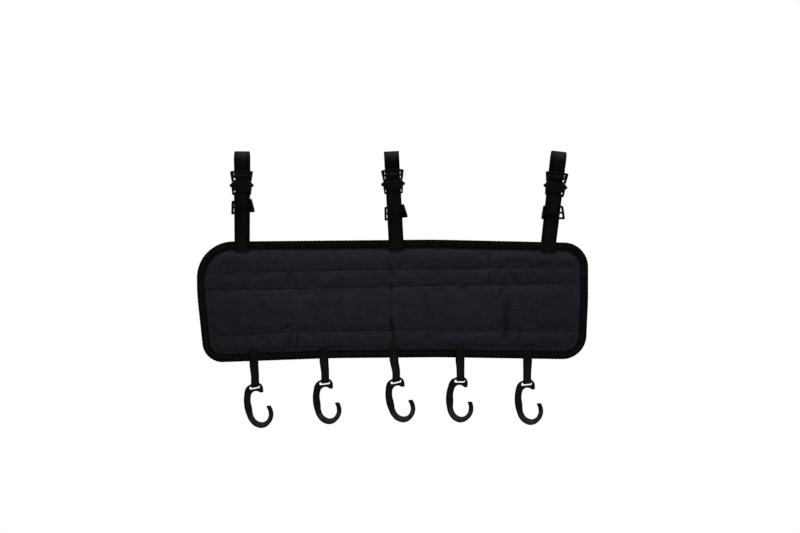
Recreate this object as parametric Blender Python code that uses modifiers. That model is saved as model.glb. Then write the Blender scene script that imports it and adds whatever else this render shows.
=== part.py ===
"""Padded hanging panel with three buckled strap loops and five swinging hooks.

Metres. +Z is up, +X is to the right and -Y is the front. The origin is on the axis of the pole that the
three strap loops hang on, above the middle of the panel's width.
"""

import math

import bmesh
import bpy
from mathutils import Matrix, Vector

# Clearance between pieces that touch
clearance = 0.0003

# Pole that the loops hang on
pole_radius = 0.011
pole_above_socket = 0.0453

# Panel outline: the top edge has a slight crown, and both sides lean in below a knee
panel_width = 0.520
panel_height = 0.157
top_left_drop = 0.0013
top_right_drop = 0.003
crown_place = 0.056
crown_rise = 0.0016
right_side_inset = 0.0013
right_knee_drop = 0.078
right_foot_inset = 0.005
left_knee_drop = 0.069
left_foot_inset = 0.010
left_foot_sag = 0.0043
bottom_lift_left = -0.083
bottom_lift_left_rise = 0.0018
bottom_lift_right = 0.062
bottom_lift_right_rise = 0.0031
top_left_radius = 0.048
top_right_radius = 0.032
bottom_right_radius = 0.032
bottom_left_radius = 0.0265
side_knee_radius = 0.3
edge_bend_radius = 1.5
corner_steps = 8
bend_steps = 2

# Panel layers: two covers over foam, closed round the edge by a folded tape
foam_thickness = 0.004
cover_thickness = 0.0007
binding_width = 0.010
binding_thickness = 0.0009
binding_fold = 0.0007
rim_width = 0.0135
pad_slope = 0.0045
pad_crest = 0.002

# Webbing of the straps
webbing_width = 0.020
webbing_thickness = 0.0012
strap_foot = 0.012
strap_places = (-0.2003, 0.0040, 0.2066)
strap_leans = (0.0, -3.0, 6.5)
strap_tilt = 6.0
tail_end = 0.020
arc_step = 22.0

# Slider that holds both layers of a front strap
slider_drops = (0.0150, 0.0245, 0.0215)
slider_turn = 6.0
slider_shift = 0.00095
slider_height = 0.018
slider_top_width = 0.0264
slider_bottom_width = 0.0316
slider_rail = 0.0026
slider_bar = 0.0027
slider_wall = 0.0018
slider_corner = 0.0018

# Buckle socket
socket_base = 0.0615
socket_bar = 0.0025
socket_bar_thickness = 0.0020
socket_slot = 0.0032
socket_body = 0.0120
socket_mouth_width = 0.0276
socket_base_width = 0.0246
socket_thickness = 0.0080
socket_corner = 0.0022
socket_plate = 0.0018
socket_floor = 0.0022
socket_slot_side = 0.0004
rib_thickness = 0.0015

# Buckle plug
plug_base = 0.0022
plug_slot = 0.0034
plug_bar = 0.0023
plug_top_bar = 0.0023
plug_top_width = 0.0305
plug_base_width = 0.0262
plug_crown = 0.0022
plug_thickness = 0.0036
plug_bar_thickness = 0.0020
plug_tail = 0.0060
plug_corner = 0.0016
tongue_width = 0.0072
tongue_length = 0.0088
tongue_thickness = 0.0034

# Buckle arms
arm_spread = 0.0100
arm_root_radius = 0.0014
arm_length = 0.0072
arm_pad_reach = 0.0058
arm_pad_top = 0.0004
arm_pad_height = 0.0042
arm_thickness = 0.0034

# Hook tabs of narrow webbing
tab_width = 0.0120
tab_fold_width = 0.0104
tab_thickness = 0.0010
tab_foot = 0.0130
tab_drops = (0.0302, 0.0280, 0.0274, 0.0266, 0.0288)
tab_hinge_drop = 0.0015
tab_places = (-0.1844, -0.0915, 0.0013, 0.0889, 0.1784)
tab_drifts = (0.0015, 0.0016, 0.0030, 0.0006, -0.0005)

# Hooks
hook_tilts = (10.5, 6.5, 12.0, 0.0, 6.0)
hook_thickness = 0.0040
hook_edge_round = 0.0007
hook_outset = 0.0003
hook_bar = 0.0021
hook_slot = 0.0048
hook_slot_left = 0.0087
hook_slot_right = 0.0065
hook_slot_round = 0.0018
hook_curve_steps = 4

# Places worked out from the sizes above
panel_top = -(socket_base + pole_above_socket)
cover_top = foam_thickness / 2 + clearance + cover_thickness
rim_half = clearance / 2 + cover_thickness
binding_half = rim_half + clearance + binding_thickness
strap_front = -(binding_half + clearance + webbing_thickness / 2)
layer_step = webbing_thickness + clearance
tab_stack = 2 * tab_thickness + clearance
tab_front = -(binding_half + clearance + tab_stack / 2)
bar_height = hook_bar + 2 * hook_outset


def clear_scene():
    """Removes whatever the file opened with."""
    for obj in list(bpy.data.objects):
        bpy.data.objects.remove(obj, do_unlink=True)


def collection(name):
    """A new collection in the scene."""
    made = bpy.data.collections.new(name)
    bpy.context.scene.collection.children.link(made)
    return made


def material(name, colour, roughness):
    """A plain Principled material."""
    made = bpy.data.materials.get(name) or bpy.data.materials.new(name)
    made.use_nodes = True
    shader = made.node_tree.nodes["Principled BSDF"]
    shader.inputs["Base Color"].default_value = (*colour, 1.0)
    shader.inputs["Roughness"].default_value = roughness
    shader.inputs["Metallic"].default_value = 0.0
    return made


def rib_cloth():
    """Charcoal ribbed polyester of the covers."""
    return material("rib_cloth", (0.013, 0.012, 0.016), 0.75)


def pad_foam():
    """Grey sheet foam."""
    return material("pad_foam", (0.12, 0.12, 0.12), 0.9)


def binding_tape():
    """Black folded tape."""
    return material("binding_tape", (0.004, 0.004, 0.0045), 0.8)


def webbing_weave():
    """Black woven webbing."""
    return material("webbing_weave", (0.006, 0.006, 0.006), 0.7)


def black_plastic():
    """Black moulded plastic."""
    return material("black_plastic", (0.008, 0.008, 0.008), 0.4)


def rounded(corners):
    """Points of a closed outline with round corners, given counter-clockwise as (x, y, radius, steps)."""
    points = []
    for index, (x, y, radius, steps) in enumerate(corners):
        corner = Vector((x, y))
        before = corner - Vector(corners[index - 1][:2])
        after = Vector(corners[(index + 1) % len(corners)][:2]) - corner
        turn = math.atan2(before.cross(after), before.dot(after))
        before.normalize()
        inward = Vector((-before.y, before.x)) * math.copysign(radius, turn)
        start = corner - before * radius * math.tan(abs(turn) / 2)
        centre = start + inward
        for step in range(steps + 1):
            points.append(centre + Matrix.Rotation(turn * step / steps, 2) @ (start - centre))
    return points


def panel_corners():
    """Corners of the panel's outline as (x, z, radius, steps), counter-clockwise from the top left."""
    half = panel_width / 2
    right = half - right_side_inset
    bottom = panel_top - panel_height
    return [
        (-half, panel_top - top_left_drop, top_left_radius, corner_steps),
        (-half, panel_top - left_knee_drop, side_knee_radius, bend_steps),
        (-half + left_foot_inset, bottom - left_foot_sag, bottom_left_radius, corner_steps),
        (bottom_lift_left, bottom + bottom_lift_left_rise, edge_bend_radius, bend_steps),
        (bottom_lift_right, bottom + bottom_lift_right_rise, edge_bend_radius, bend_steps),
        (half - right_foot_inset, bottom, bottom_right_radius, corner_steps),
        (right, panel_top - right_knee_drop, side_knee_radius, bend_steps),
        (right, panel_top - top_right_drop, top_right_radius, corner_steps),
        (crown_place, panel_top + crown_rise, edge_bend_radius, bend_steps),
    ]


def panel_outline(inset):
    """The panel's outline moved in by inset, with the same number of points at every inset."""
    corners = panel_corners()
    moved = []
    for index, (x, z, radius, steps) in enumerate(corners):
        corner = Vector((x, z))
        before = (corner - Vector(corners[index - 1][:2])).normalized()
        after = (Vector(corners[(index + 1) % len(corners)][:2]) - corner).normalized()
        first = Vector((-before.y, before.x))
        second = Vector((-after.y, after.x))
        place = corner + (first + second) * (inset / (1 + first.dot(second)))
        moved.append((place.x, place.y, max(radius - inset, clearance), steps))
    return rounded(moved)


def edge_height(x, pick):
    """Height of the panel's edge at x: pick is max for the upper edge and min for the lower one."""
    outline = panel_outline(0.0)
    heights = []
    for start, end in zip(outline, outline[1:] + outline[:1]):
        if start.x != end.x and (start.x - x) * (end.x - x) <= 0:
            share = (x - start.x) / (end.x - start.x)
            heights.append(start.y + share * (end.y - start.y))
    return pick(heights)


def add_object(name, data, place, finish=None):
    """Links a new object into the collection place."""
    made = bpy.data.objects.new(name, data)
    place.objects.link(made)
    if finish:
        data.materials.append(finish)
    return made


def loft(name, sections, capped, inside_out, finish):
    """A surface through the panel's outline at each (inset, y) of sections."""
    shape = bmesh.new()
    rings = []
    for inset, y in sections:
        rings.append([shape.verts.new((point.x, y, point.y)) for point in panel_outline(inset)])
    for first, second in zip(rings, rings[1:]):
        count = len(first)
        for index in range(count):
            after = (index + 1) % count
            shape.faces.new((first[index], first[after], second[after], second[index]))
    for ring in [rings[end] for end in capped]:
        shape.faces.new(ring)
    if inside_out:
        bmesh.ops.reverse_faces(shape, faces=shape.faces)
    if len(capped) == 2:
        bmesh.ops.recalc_face_normals(shape, faces=shape.faces)
    mesh = bpy.data.meshes.new(name)
    shape.to_mesh(mesh)
    shape.free()
    return add_object(name, mesh, parts, finish)


def thicken(obj, thickness):
    """Gives an open surface its thickness, on the side away from its normals."""
    solid = obj.modifiers.new("thickness", "SOLIDIFY")
    solid.thickness = thickness
    solid.offset = -1.0
    solid.use_even_offset = True


def make_cover(name, side):
    """One cover: flat at the seam, a slope over the foam's edge, then flat; side is -1 at the front."""
    crest = rim_width + pad_slope
    sections = [
        (binding_thickness + clearance, side * rim_half),
        (rim_width, side * rim_half),
        (crest, side * (cover_top - cover_thickness / 2)),
        (crest + pad_crest, side * cover_top),
    ]
    cover = loft(name, sections, [-1], side > 0, rib_cloth())
    thicken(cover, cover_thickness)
    return cover


def make_foam():
    """The foam sheet between the covers, with a chamfered edge."""
    edge = rim_width + pad_slope + clearance
    half = foam_thickness / 2
    sections = [(edge + pad_crest, -half), (edge, -half / 2), (edge, half / 2), (edge + pad_crest, half)]
    return loft("foam_core", sections, [0, -1], False, pad_foam())


def make_binding():
    """The tape folded over the panel's edge, all the way round."""
    half = binding_half
    sections = [
        (binding_width, -half),
        (binding_fold, -half),
        (0.0, -half + binding_fold),
        (0.0, half - binding_fold),
        (binding_fold, half),
        (binding_width, half),
    ]
    tape = loft("edge_binding", sections, [], True, binding_tape())
    thicken(tape, binding_thickness)
    return tape


def tangent(first, second):
    """The two points where taut webbing leaves one circle and meets the next."""
    (centre, radius, turn), (next_centre, next_radius, next_turn) = first, second
    gap = next_centre - centre
    along = gap.normalized()
    across = Vector((-along.y, along.x))
    lean = math.asin((next_turn * next_radius - turn * radius) / gap.length)
    left = across * math.cos(lean) + along * math.sin(lean)
    return centre - left * turn * radius, next_centre - left * next_turn * next_radius


def belt(stops):
    """Centreline of webbing pulled taut past circles, each (centre, radius, turn); turn is 1 to the left."""
    legs = [tangent(first, second) for first, second in zip(stops, stops[1:])]
    points = [legs[0][0]]
    for (centre, radius, turn), arriving, leaving in zip(stops[1:-1], legs, legs[1:]):
        if radius == 0:
            points.append(centre)
            continue
        start = arriving[1] - centre
        end = leaving[0] - centre
        sweep = (math.atan2(start.cross(end), start.dot(end)) * turn) % (2 * math.pi)
        steps = max(1, round(math.degrees(sweep) / arc_step))
        for step in range(steps + 1):
            points.append(centre + Matrix.Rotation(turn * sweep * step / steps, 2) @ start)
    points.append(legs[-1][1])
    return points


def stop(y, z, radius=0.0, turn=1):
    """One circle, or one point, that webbing passes."""
    return Vector((y, z)), radius, turn


def band_edges(centreline, thickness):
    """The closed outline of a band that follows a centreline."""
    left = []
    right = []
    last = len(centreline) - 1
    for index, point in enumerate(centreline):
        before = (point - centreline[max(index - 1, 0)]).normalized()
        after = (centreline[min(index + 1, last)] - point).normalized()
        along = (before + after).normalized()
        across = Vector((-along.y, along.x))
        reach = thickness / 2 / max(0.7, math.cos(before.angle(after) / 2 if 0 < index < last else 0.0))
        left.append(point + across * reach)
        right.append(point - across * reach)
    return left + right[::-1]


def flat_curve(name, outlines, depth):
    """A filled 2D curve of straight-sided outlines, extruded to depth."""
    curve = bpy.data.curves.new(name, "CURVE")
    curve.dimensions = "2D"
    curve.fill_mode = "BOTH"
    curve.extrude = depth / 2
    for outline in outlines:
        spline = curve.splines.new("POLY")
        spline.points.add(len(outline) - 1)
        for point, place in zip(spline.points, outline):
            point.co = (place[0], place[1], 0.0, 1.0)
        spline.use_cyclic_u = True
    return curve


def make_band(name, centreline, thickness, width, finish):
    """A strap: a band in the YZ plane as wide as width along X."""
    curve = flat_curve(name, [band_edges(centreline, thickness)], width)
    strap = add_object(name, curve, parts, finish)
    strap.rotation_euler = (math.pi / 2, 0.0, math.pi / 2)
    return strap


def as_mesh(obj, name, place):
    """A mesh object with the shape of obj in the same place; obj is removed."""
    bpy.context.view_layer.update()
    graph = bpy.context.evaluated_depsgraph_get()
    mesh = bpy.data.meshes.new_from_object(obj.evaluated_get(graph))
    mesh.transform(obj.matrix_world)
    shape = bmesh.new()
    shape.from_mesh(mesh)
    bmesh.ops.remove_doubles(shape, verts=shape.verts, dist=1e-6)
    bmesh.ops.recalc_face_normals(shape, faces=shape.faces)
    shape.to_mesh(mesh)
    shape.free()
    bpy.data.objects.remove(obj)
    made = bpy.data.objects.new(name, mesh)
    place.objects.link(made)
    return made


def prism(name, outline, low, high, place, finish=None):
    """A plate with its outline in the XZ plane, from low to high along Y."""
    curve = flat_curve(name + "_outline", [outline], high - low)
    drawn = add_object(name + "_outline", curve, parts)
    drawn.rotation_euler = (math.pi / 2, 0.0, 0.0)
    drawn.location = (0.0, (low + high) / 2, 0.0)
    made = as_mesh(drawn, name, place)
    if finish:
        made.data.materials.append(finish)
    return made


def cutter(name, outline, low, high):
    """A prism that only cuts others."""
    made = prism(name, outline, low, high, cutters)
    made.display_type = "WIRE"
    made.hide_render = True
    return made


def join(obj, other, operation):
    """Adds a Boolean modifier; the other object then moves with the first."""
    step = obj.modifiers.new(operation.lower(), "BOOLEAN")
    step.operation = operation
    step.object = other
    other.parent = obj


def rectangle(left, low, right, high, radius=0.0):
    """A rectangle's outline, with round corners where radius is given."""
    if radius == 0.0:
        return [(left, low), (right, low), (right, high), (left, high)]
    corners = [(left, low), (right, low), (right, high), (left, high)]
    return rounded([(x, z, radius, 3) for x, z in corners])


def trapezoid(low_half, low, high_half, high, radius):
    """A symmetric outline, low_half wide to each side at its foot and high_half at its head."""
    corners = [(-low_half, low), (low_half, low), (high_half, high), (-high_half, high)]
    return rounded([(x, z, radius, 3) for x, z in corners])


def frame_empty(name, parent, location, rotation):
    """An empty that a piece or an assembly is parented to."""
    made = bpy.data.objects.new(name, None)
    parts.objects.link(made)
    made.parent = parent
    made.location = location
    made.rotation_euler = rotation
    return made


def wrap_radius(height, thickness):
    """Radius of the centreline of webbing that goes round a bar of this section."""
    return math.hypot(height, thickness) / 2 + clearance + webbing_thickness / 2


# Heights of the buckle's bars along a strap, from the panel's edge
hardware_offset = wrap_radius(socket_bar, socket_bar_thickness)
socket_bar_middle = socket_base + socket_bar / 2
socket_floor_top = socket_base + socket_bar + socket_slot + socket_floor
socket_mouth = socket_base + socket_bar + socket_slot + socket_body
plug_foot = socket_mouth + clearance
middle_bar_low = plug_foot + plug_base + plug_slot
middle_bar = middle_bar_low + plug_bar / 2
top_bar_low = middle_bar_low + plug_bar + plug_slot
top_bar = top_bar_low + plug_top_bar / 2
plug_head = top_bar_low + plug_top_bar


def on_strap(offset, height):
    """A point of the YZ plane: height along the tilted strap, offset to the back of its front layer."""
    tilt = math.radians(strap_tilt)
    return Vector(
        (
            strap_front + offset * math.cos(tilt) - height * math.sin(tilt),
            height * math.cos(tilt) + offset * math.sin(tilt),
        )
    )


def front_strap_line():
    """Sewn foot, straight run up to the socket's bar, round it, and the free tail behind the run."""
    foot = stop(strap_front, -strap_foot)
    bend = stop(strap_front, 0.0)
    bar = (on_strap(hardware_offset, socket_bar_middle), hardware_offset, -1)
    join_height = socket_base - 2 * hardware_offset
    joined = (on_strap(layer_step, join_height), 0.0, 1)
    tail = (on_strap(layer_step, tail_end), 0.0, 1)
    return belt([foot, bend, bar, joined, tail])


def loop_strap_line(rise):
    """Sewn foot behind the panel, over the pole rise above it, through the plug's bars, and a free tail."""
    foot = stop(-strap_front, -strap_foot)
    bend = stop(-strap_front, 0.0)
    pole = stop(0.0, rise, pole_radius + clearance + webbing_thickness / 2, 1)
    bar_wrap = wrap_radius(plug_top_bar, plug_bar_thickness)
    top_centre = on_strap(hardware_offset, top_bar)
    above = (top_centre, bar_wrap, -1)
    below = (on_strap(hardware_offset, middle_bar), wrap_radius(plug_bar, plug_bar_thickness), 1)
    behind = (top_centre, bar_wrap + layer_step, 1)
    high, low = tangent(pole, above)
    upward = (high - low).normalized()
    backward = Vector((upward.y, -upward.x))
    tip = (low + backward * layer_step + upward * plug_tail, 0.0, 1)
    return belt([foot, bend, pole, above, below, behind, tip])


def make_slider(name):
    """A frame whose middle bar lies in front of the webbing and whose outer bars lie behind it."""
    half = slider_height / 2
    front = -webbing_thickness / 2 - clearance
    back = layer_step + webbing_thickness / 2 + clearance
    low_half = slider_bottom_width / 2
    high_half = slider_top_width / 2
    outline = trapezoid(low_half, -half, high_half, half, slider_corner)
    frame = prism(name, outline, front - slider_wall, back + slider_wall, parts, black_plastic())
    beyond = 2 * half
    lean = (low_half - high_half) / (2 * half)
    inner_low = low_half - slider_rail + lean * half
    inner_high = high_half - slider_rail - lean * half
    channel = [(-inner_low, -beyond), (inner_low, -beyond), (inner_high, beyond), (-inner_high, beyond)]
    join(frame, cutter(name + "_channel", channel, front, back), "DIFFERENCE")
    for side in (-1, 1):
        low, high = sorted((slider_bar / 2 * side, beyond * side))
        window = channel_part(channel, low, high)
        join(frame, cutter(name + "_front_window", window, front - 2 * slider_wall, front / 2), "DIFFERENCE")
    low = -half + slider_bar
    window = channel_part(channel, low, -low)
    join(frame, cutter(name + "_back_window", window, back / 2, back + 2 * slider_wall), "DIFFERENCE")
    return frame


def channel_part(channel, low, high):
    """The stretch of a trapezoid channel between two heights, a little narrower than the channel."""
    (_, foot), (foot_half, _), (head_half, head), _ = channel
    low_half = foot_half + (head_half - foot_half) * (low - foot) / (head - foot) - clearance
    high_half = foot_half + (head_half - foot_half) * (high - foot) / (head - foot) - clearance
    return [(-low_half, low), (low_half, low), (high_half, high), (-high_half, high)]


def make_socket(name):
    """The buckle's socket: two plates joined by a floor and two ribs, above a bar for the webbing."""
    low = hardware_offset - socket_thickness / 2
    high = hardware_offset + socket_thickness / 2
    base_half = socket_base_width / 2
    outline = trapezoid(base_half, socket_base, socket_mouth_width / 2, socket_mouth, socket_corner)
    socket = prism(name, outline, low, high, parts, black_plastic())
    half = webbing_width / 2 + socket_slot_side
    slot_low = socket_base + socket_bar
    slot = rectangle(-half, slot_low, half, slot_low + socket_slot)
    join(socket, cutter(name + "_slot", slot, low - socket_plate, high + socket_plate), "DIFFERENCE")
    for side in (-1, 1):
        face = hardware_offset + side * socket_bar_thickness / 2
        first, last = sorted((face, face + side * socket_thickness))
        recess = rectangle(-half, socket_base - socket_slot, half, slot_low + socket_slot / 2)
        join(socket, cutter(name + "_recess", recess, first, last), "DIFFERENCE")
    first = low + socket_plate
    last = high - socket_plate
    above = socket_mouth + socket_slot
    rib_inner = tongue_width / 2 + clearance
    rib_outer = rib_inner + rib_thickness
    middle = rectangle(-rib_inner, socket_floor_top, rib_inner, above)
    join(socket, cutter(name + "_middle_channel", middle, first, last), "DIFFERENCE")
    for side in (-1, 1):
        inner, outer = sorted((side * rib_outer, side * socket_mouth_width))
        channel = rectangle(inner, socket_floor_top, outer, above)
        join(socket, cutter(name + "_side_channel", channel, first, last), "DIFFERENCE")
    return socket


def make_plug(name):
    """The buckle's plug: an arched top bar, a middle bar, a base and the tongue."""
    low = hardware_offset - plug_thickness / 2
    high = hardware_offset + plug_thickness / 2
    top_half = plug_top_width / 2
    base_half = plug_base_width / 2
    corners = [
        (-base_half, plug_foot, plug_corner / 2, 2),
        (base_half, plug_foot, plug_corner / 2, 2),
        (top_half, plug_head, plug_corner, 3),
        (0.0, plug_head + plug_crown, plug_top_width, 4),
        (-top_half, plug_head, plug_corner, 3),
    ]
    plug = prism(name, rounded(corners), low, high, parts, black_plastic())
    half = webbing_width / 2 + socket_slot_side
    for slot_low in (plug_foot + plug_base, middle_bar_low + plug_bar):
        slot = rectangle(-half, slot_low, half, slot_low + plug_slot)
        join(plug, cutter(name + "_slot", slot, low - plug_thickness, high + plug_thickness), "DIFFERENCE")
    recess = rectangle(-half, plug_foot + plug_base + plug_slot / 2, half, 2 * plug_head)
    for side in (-1, 1):
        face = hardware_offset + side * plug_bar_thickness / 2
        first, last = sorted((face, face + side * plug_thickness))
        join(plug, cutter(name + "_recess", recess, first, last), "DIFFERENCE")
    reach = plug_foot + plug_base / 2
    tongue = trapezoid(tongue_width / 3, plug_foot - tongue_length, tongue_width / 2, reach, tongue_width / 8)
    first = hardware_offset - tongue_thickness / 2
    join(plug, cutter(name + "_tongue", tongue, first, first + tongue_thickness), "UNION")
    return plug


def make_arm(name, side):
    """One springy arm: a round root on the hinge, a leg inside the socket and a pad that shows beside it."""
    root = arm_root_radius
    corners = [
        (-root, root, root * 0.9, 4),
        (-root, -arm_length, root / 2, 2),
        (root * 0.8, -arm_length, root / 2, 2),
        (arm_pad_reach, -arm_pad_top - arm_pad_height, root / 2, 2),
        (arm_pad_reach, -arm_pad_top - arm_pad_height / 3, root / 2, 2),
        (root, -arm_pad_top, root / 4, 1),
        (root, root, root * 0.9, 4),
    ]
    outline = rounded(corners)
    if side < 0:
        outline = [(-point.x, point.y) for point in reversed(outline)]
    return prism(name, outline, -arm_thickness / 2, arm_thickness / 2, parts, black_plastic())


def attach(obj, parent, location=(0.0, 0.0, 0.0), rotation=(0.0, 0.0, 0.0)):
    """Parents obj and places it in its parent's frame."""
    obj.parent = parent
    obj.location = location
    obj.rotation_euler = rotation


def make_strap(side, x, lean, slider_drop):
    """One whole strap: its two webbings, slider and buckle."""
    edge = edge_height(x, max)
    foot = frame_empty(side + "_strap_frame", None, (x, 0.0, edge), (0.0, math.radians(lean), 0.0))
    upright = (math.pi / 2, 0.0, math.pi / 2)
    rise = -edge / math.cos(math.radians(lean))
    lines = (("_front_strap", front_strap_line()), ("_loop_strap", loop_strap_line(rise)))
    for kind, line in lines:
        strap = make_band(side + kind, line, webbing_thickness, webbing_width, webbing_weave())
        attach(strap, foot, rotation=upright)
    tilt = (math.radians(strap_tilt), 0.0, 0.0)
    run = frame_empty(side + "_run_frame", foot, (0.0, strap_front, 0.0), tilt)
    turned = (0.0, -math.radians(slider_turn), 0.0)
    attach(make_slider(side + "_slider"), run, (slider_shift, 0.0, socket_base - slider_drop), turned)
    attach(make_socket(side + "_buckle_socket"), run)
    attach(make_plug(side + "_buckle_plug"), run)
    hinge_height = plug_foot - clearance - arm_root_radius
    for hand, name in ((-1, "_buckle_left_arm"), (1, "_buckle_right_arm")):
        arm = make_arm(side + name, hand)
        attach(arm, run, (hand * arm_spread, hardware_offset, hinge_height))


def tab_outlines(drop):
    """Outer and inner outline of a folded tab from its side: joined at the top, round at the hook's bar."""
    hole = math.hypot(bar_height, hook_thickness) / 2 + clearance
    top = stop(0.0, 0.0, tab_stack / 2, 1)
    fold = stop(0.0, -drop, hole + tab_thickness, 1)
    split = stop(0.0, -tab_stack, clearance / 2, 1)
    inside = stop(0.0, -drop, hole, 1)
    return belt([top, fold, top, fold])[:-2], belt([split, inside, split, inside])[:-2]


def skew_tab(tab, drop, drift, tilt):
    """Lets the fold of a tab narrow, drift sideways and tilt with its hook, and leaves its top end square."""
    settled = drop - 2 * hook_thickness
    for vertex in tab.data.vertices:
        share = min(1.0, max(0.0, -vertex.co.z / settled))
        share = share * share * (3 - 2 * share)
        vertex.co.x *= 1 + (tab_fold_width / tab_width - 1) * share
        vertex.co.z += vertex.co.x * math.tan(math.radians(tilt)) * share
        vertex.co.x += drift * share


def make_tab(name, drop):
    """The hanging part of a tab, with its hinge at the panel's edge as its origin and its fold this far down."""
    drawn = add_object(name + "_outline", flat_curve(name + "_outline", tab_outlines(drop), tab_width), parts)
    drawn.rotation_euler = (math.pi / 2, 0.0, math.pi / 2)
    tab = as_mesh(drawn, name, parts)
    tab.data.materials.append(webbing_weave())
    return tab


def make_tab_foot(name):
    """The two sewn layers of a tab on the panel's binding."""
    low = tab_stack / 2 + clearance
    high = tab_hinge_drop + tab_foot
    outline = rectangle(-tab_width / 2, low, tab_width / 2, high)
    return prism(name, outline, -tab_stack / 2, tab_stack / 2, parts, webbing_weave())


# Hook outline round its bar, counter-clockwise from the head, as (x, z, handle)
hook_outline = (
    (-0.0060, hook_bar / 2, "VECTOR"),
    (-0.0120, -0.0022, "AUTO"),
    (-0.0163, -0.0115, "AUTO"),
    (-0.0186, -0.0240, "AUTO"),
    (-0.0179, -0.0360, "AUTO"),
    (-0.0141, -0.0484, "AUTO"),
    (-0.0070, -0.0556, "AUTO"),
    (0.0012, -0.0575, "AUTO"),
    (0.0092, -0.0540, "AUTO"),
    (0.0151, -0.0465, "AUTO"),
    (0.0165, -0.0385, "AUTO"),
    (0.0150, -0.0313, "VECTOR"),
    (0.0101, -0.0309, "VECTOR"),
    (0.0116, -0.0380, "AUTO"),
    (0.0098, -0.0460, "AUTO"),
    (0.0040, -0.0508, "AUTO"),
    (-0.0036, -0.0496, "AUTO"),
    (-0.0094, -0.0425, "AUTO"),
    (-0.0101, -0.0290, "AUTO"),
    (-0.0095, -0.0160, "AUTO"),
    (-0.0055, -0.0090, "AUTO"),
    (0.0012, -0.0082, "AUTO"),
    (0.0054, -0.0110, "VECTOR"),
    (0.0086, -0.0111, "VECTOR"),
    (0.0087, -0.0030, "AUTO"),
    (0.0058, hook_bar / 2, "VECTOR"),
)


def make_hook(name):
    """A flat moulded hook, with the bar that its tab goes round as its origin."""
    slot_top = -hook_bar / 2
    slot = rectangle(-hook_slot_left, slot_top - hook_slot, hook_slot_right, slot_top, hook_slot_round)
    curve = flat_curve(name + "_outline", [slot], hook_thickness - 2 * hook_edge_round)
    curve.bevel_depth = hook_edge_round
    curve.bevel_resolution = 0
    curve.offset = hook_outset - hook_edge_round
    spline = curve.splines.new("BEZIER")
    spline.bezier_points.add(len(hook_outline) - 1)
    for point, (x, z, handle) in zip(spline.bezier_points, hook_outline):
        point.co = (x, z, 0.0)
        point.handle_left_type = handle
        point.handle_right_type = handle
    spline.use_cyclic_u = True
    spline.resolution_u = hook_curve_steps
    drawn = add_object(name + "_outline", curve, parts)
    drawn.rotation_euler = (math.pi / 2, 0.0, 0.0)
    hook = as_mesh(drawn, name, parts)
    hook.data.materials.append(black_plastic())
    return hook


def make_hanger(number, x, drop, drift, tilt):
    """One tab and the hook on it."""
    place = (x, tab_front, edge_height(x, min) - tab_hinge_drop)
    hinge = frame_empty(f"tab_frame_{number}", None, place, (0.0, 0.0, 0.0))
    attach(make_tab_foot(f"hook_tab_foot_{number}"), hinge)
    tab = make_tab(f"hook_tab_{number}", drop)
    skew_tab(tab, drop, drift, tilt)
    attach(tab, hinge)
    attach(make_hook(f"hook_{number}"), hinge, (drift, 0.0, -drop), (0.0, -math.radians(tilt), 0.0))


def smooth_round_pieces():
    """Shades the hooks and the webbing smooth, with their sharp edges kept."""
    for obj in parts.objects:
        if obj.type == "MESH":
            obj.data.shade_smooth()
            obj.data.set_sharp_from_angle(angle=math.radians(35))


clear_scene()
parts = collection("hanging_panel")
cutters = collection("cutters")
make_cover("front_cover", -1)
make_cover("back_cover", 1)
make_foam()
make_binding()
for strap_values in zip(("left", "middle", "right"), strap_places, strap_leans, slider_drops):
    make_strap(*strap_values)
for hanger_values in zip(range(1, 6), tab_places, tab_drops, tab_drifts, hook_tilts):
    make_hanger(*hanger_values)
smooth_round_pieces()
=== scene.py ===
"""Looks of the padded hanging panel with three buckled strap loops and five swinging hooks.

Metres, in the row frame: +Z is up, +X is to the right, -Y is the front, and the origin is on the pole's axis.
"""

import math

import bmesh
import bpy
import numpy as np
from mathutils import Matrix, Vector
from mathutils.bvhtree import BVHTree
from mathutils.geometry import delaunay_2d_cdt, interpolate_bezier


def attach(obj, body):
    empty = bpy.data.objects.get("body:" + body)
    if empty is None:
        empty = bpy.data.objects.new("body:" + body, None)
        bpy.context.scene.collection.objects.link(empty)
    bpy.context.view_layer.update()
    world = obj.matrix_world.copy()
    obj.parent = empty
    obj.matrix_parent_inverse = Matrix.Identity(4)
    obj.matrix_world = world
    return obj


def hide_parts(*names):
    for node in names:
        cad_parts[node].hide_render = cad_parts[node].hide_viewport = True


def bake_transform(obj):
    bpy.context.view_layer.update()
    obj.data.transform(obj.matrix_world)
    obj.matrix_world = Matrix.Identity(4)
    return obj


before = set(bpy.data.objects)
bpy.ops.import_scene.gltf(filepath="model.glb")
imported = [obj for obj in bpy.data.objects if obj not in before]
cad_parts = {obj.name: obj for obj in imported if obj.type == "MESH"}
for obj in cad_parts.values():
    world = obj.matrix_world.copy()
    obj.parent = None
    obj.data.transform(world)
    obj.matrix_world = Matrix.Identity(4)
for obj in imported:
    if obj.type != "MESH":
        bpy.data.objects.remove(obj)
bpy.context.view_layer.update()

# Sizes shared with the CAD source
clearance = 0.0003
pole_radius = 0.011
pole_above_panel = 0.1068
panel_width = 0.520
panel_height = 0.157
half_width = panel_width / 2
panel_top = -pole_above_panel
panel_bottom = panel_top - panel_height
webbing_width = 0.020
webbing_thickness = 0.0012
strap_foot = 0.012
strap_tilt = 6.0
tail_end = 0.020
binding_width = 0.010
binding_half = 0.00205
strap_front = -0.00295
layer_step = webbing_thickness + clearance
sides = ("left", "middle", "right")
strap_places = (-0.2003, 0.0040, 0.2066)
strap_leans = (0.0, -3.0, 6.5)
tab_places = (-0.1844, -0.0915, 0.0013, 0.0889, 0.1784)
tab_drifts = (0.0015, 0.0016, 0.0030, 0.0006, -0.0005)
hook_tilts = (10.5, 6.5, 12.0, 0.0, 6.0)
tab_width = 0.0120
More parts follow.
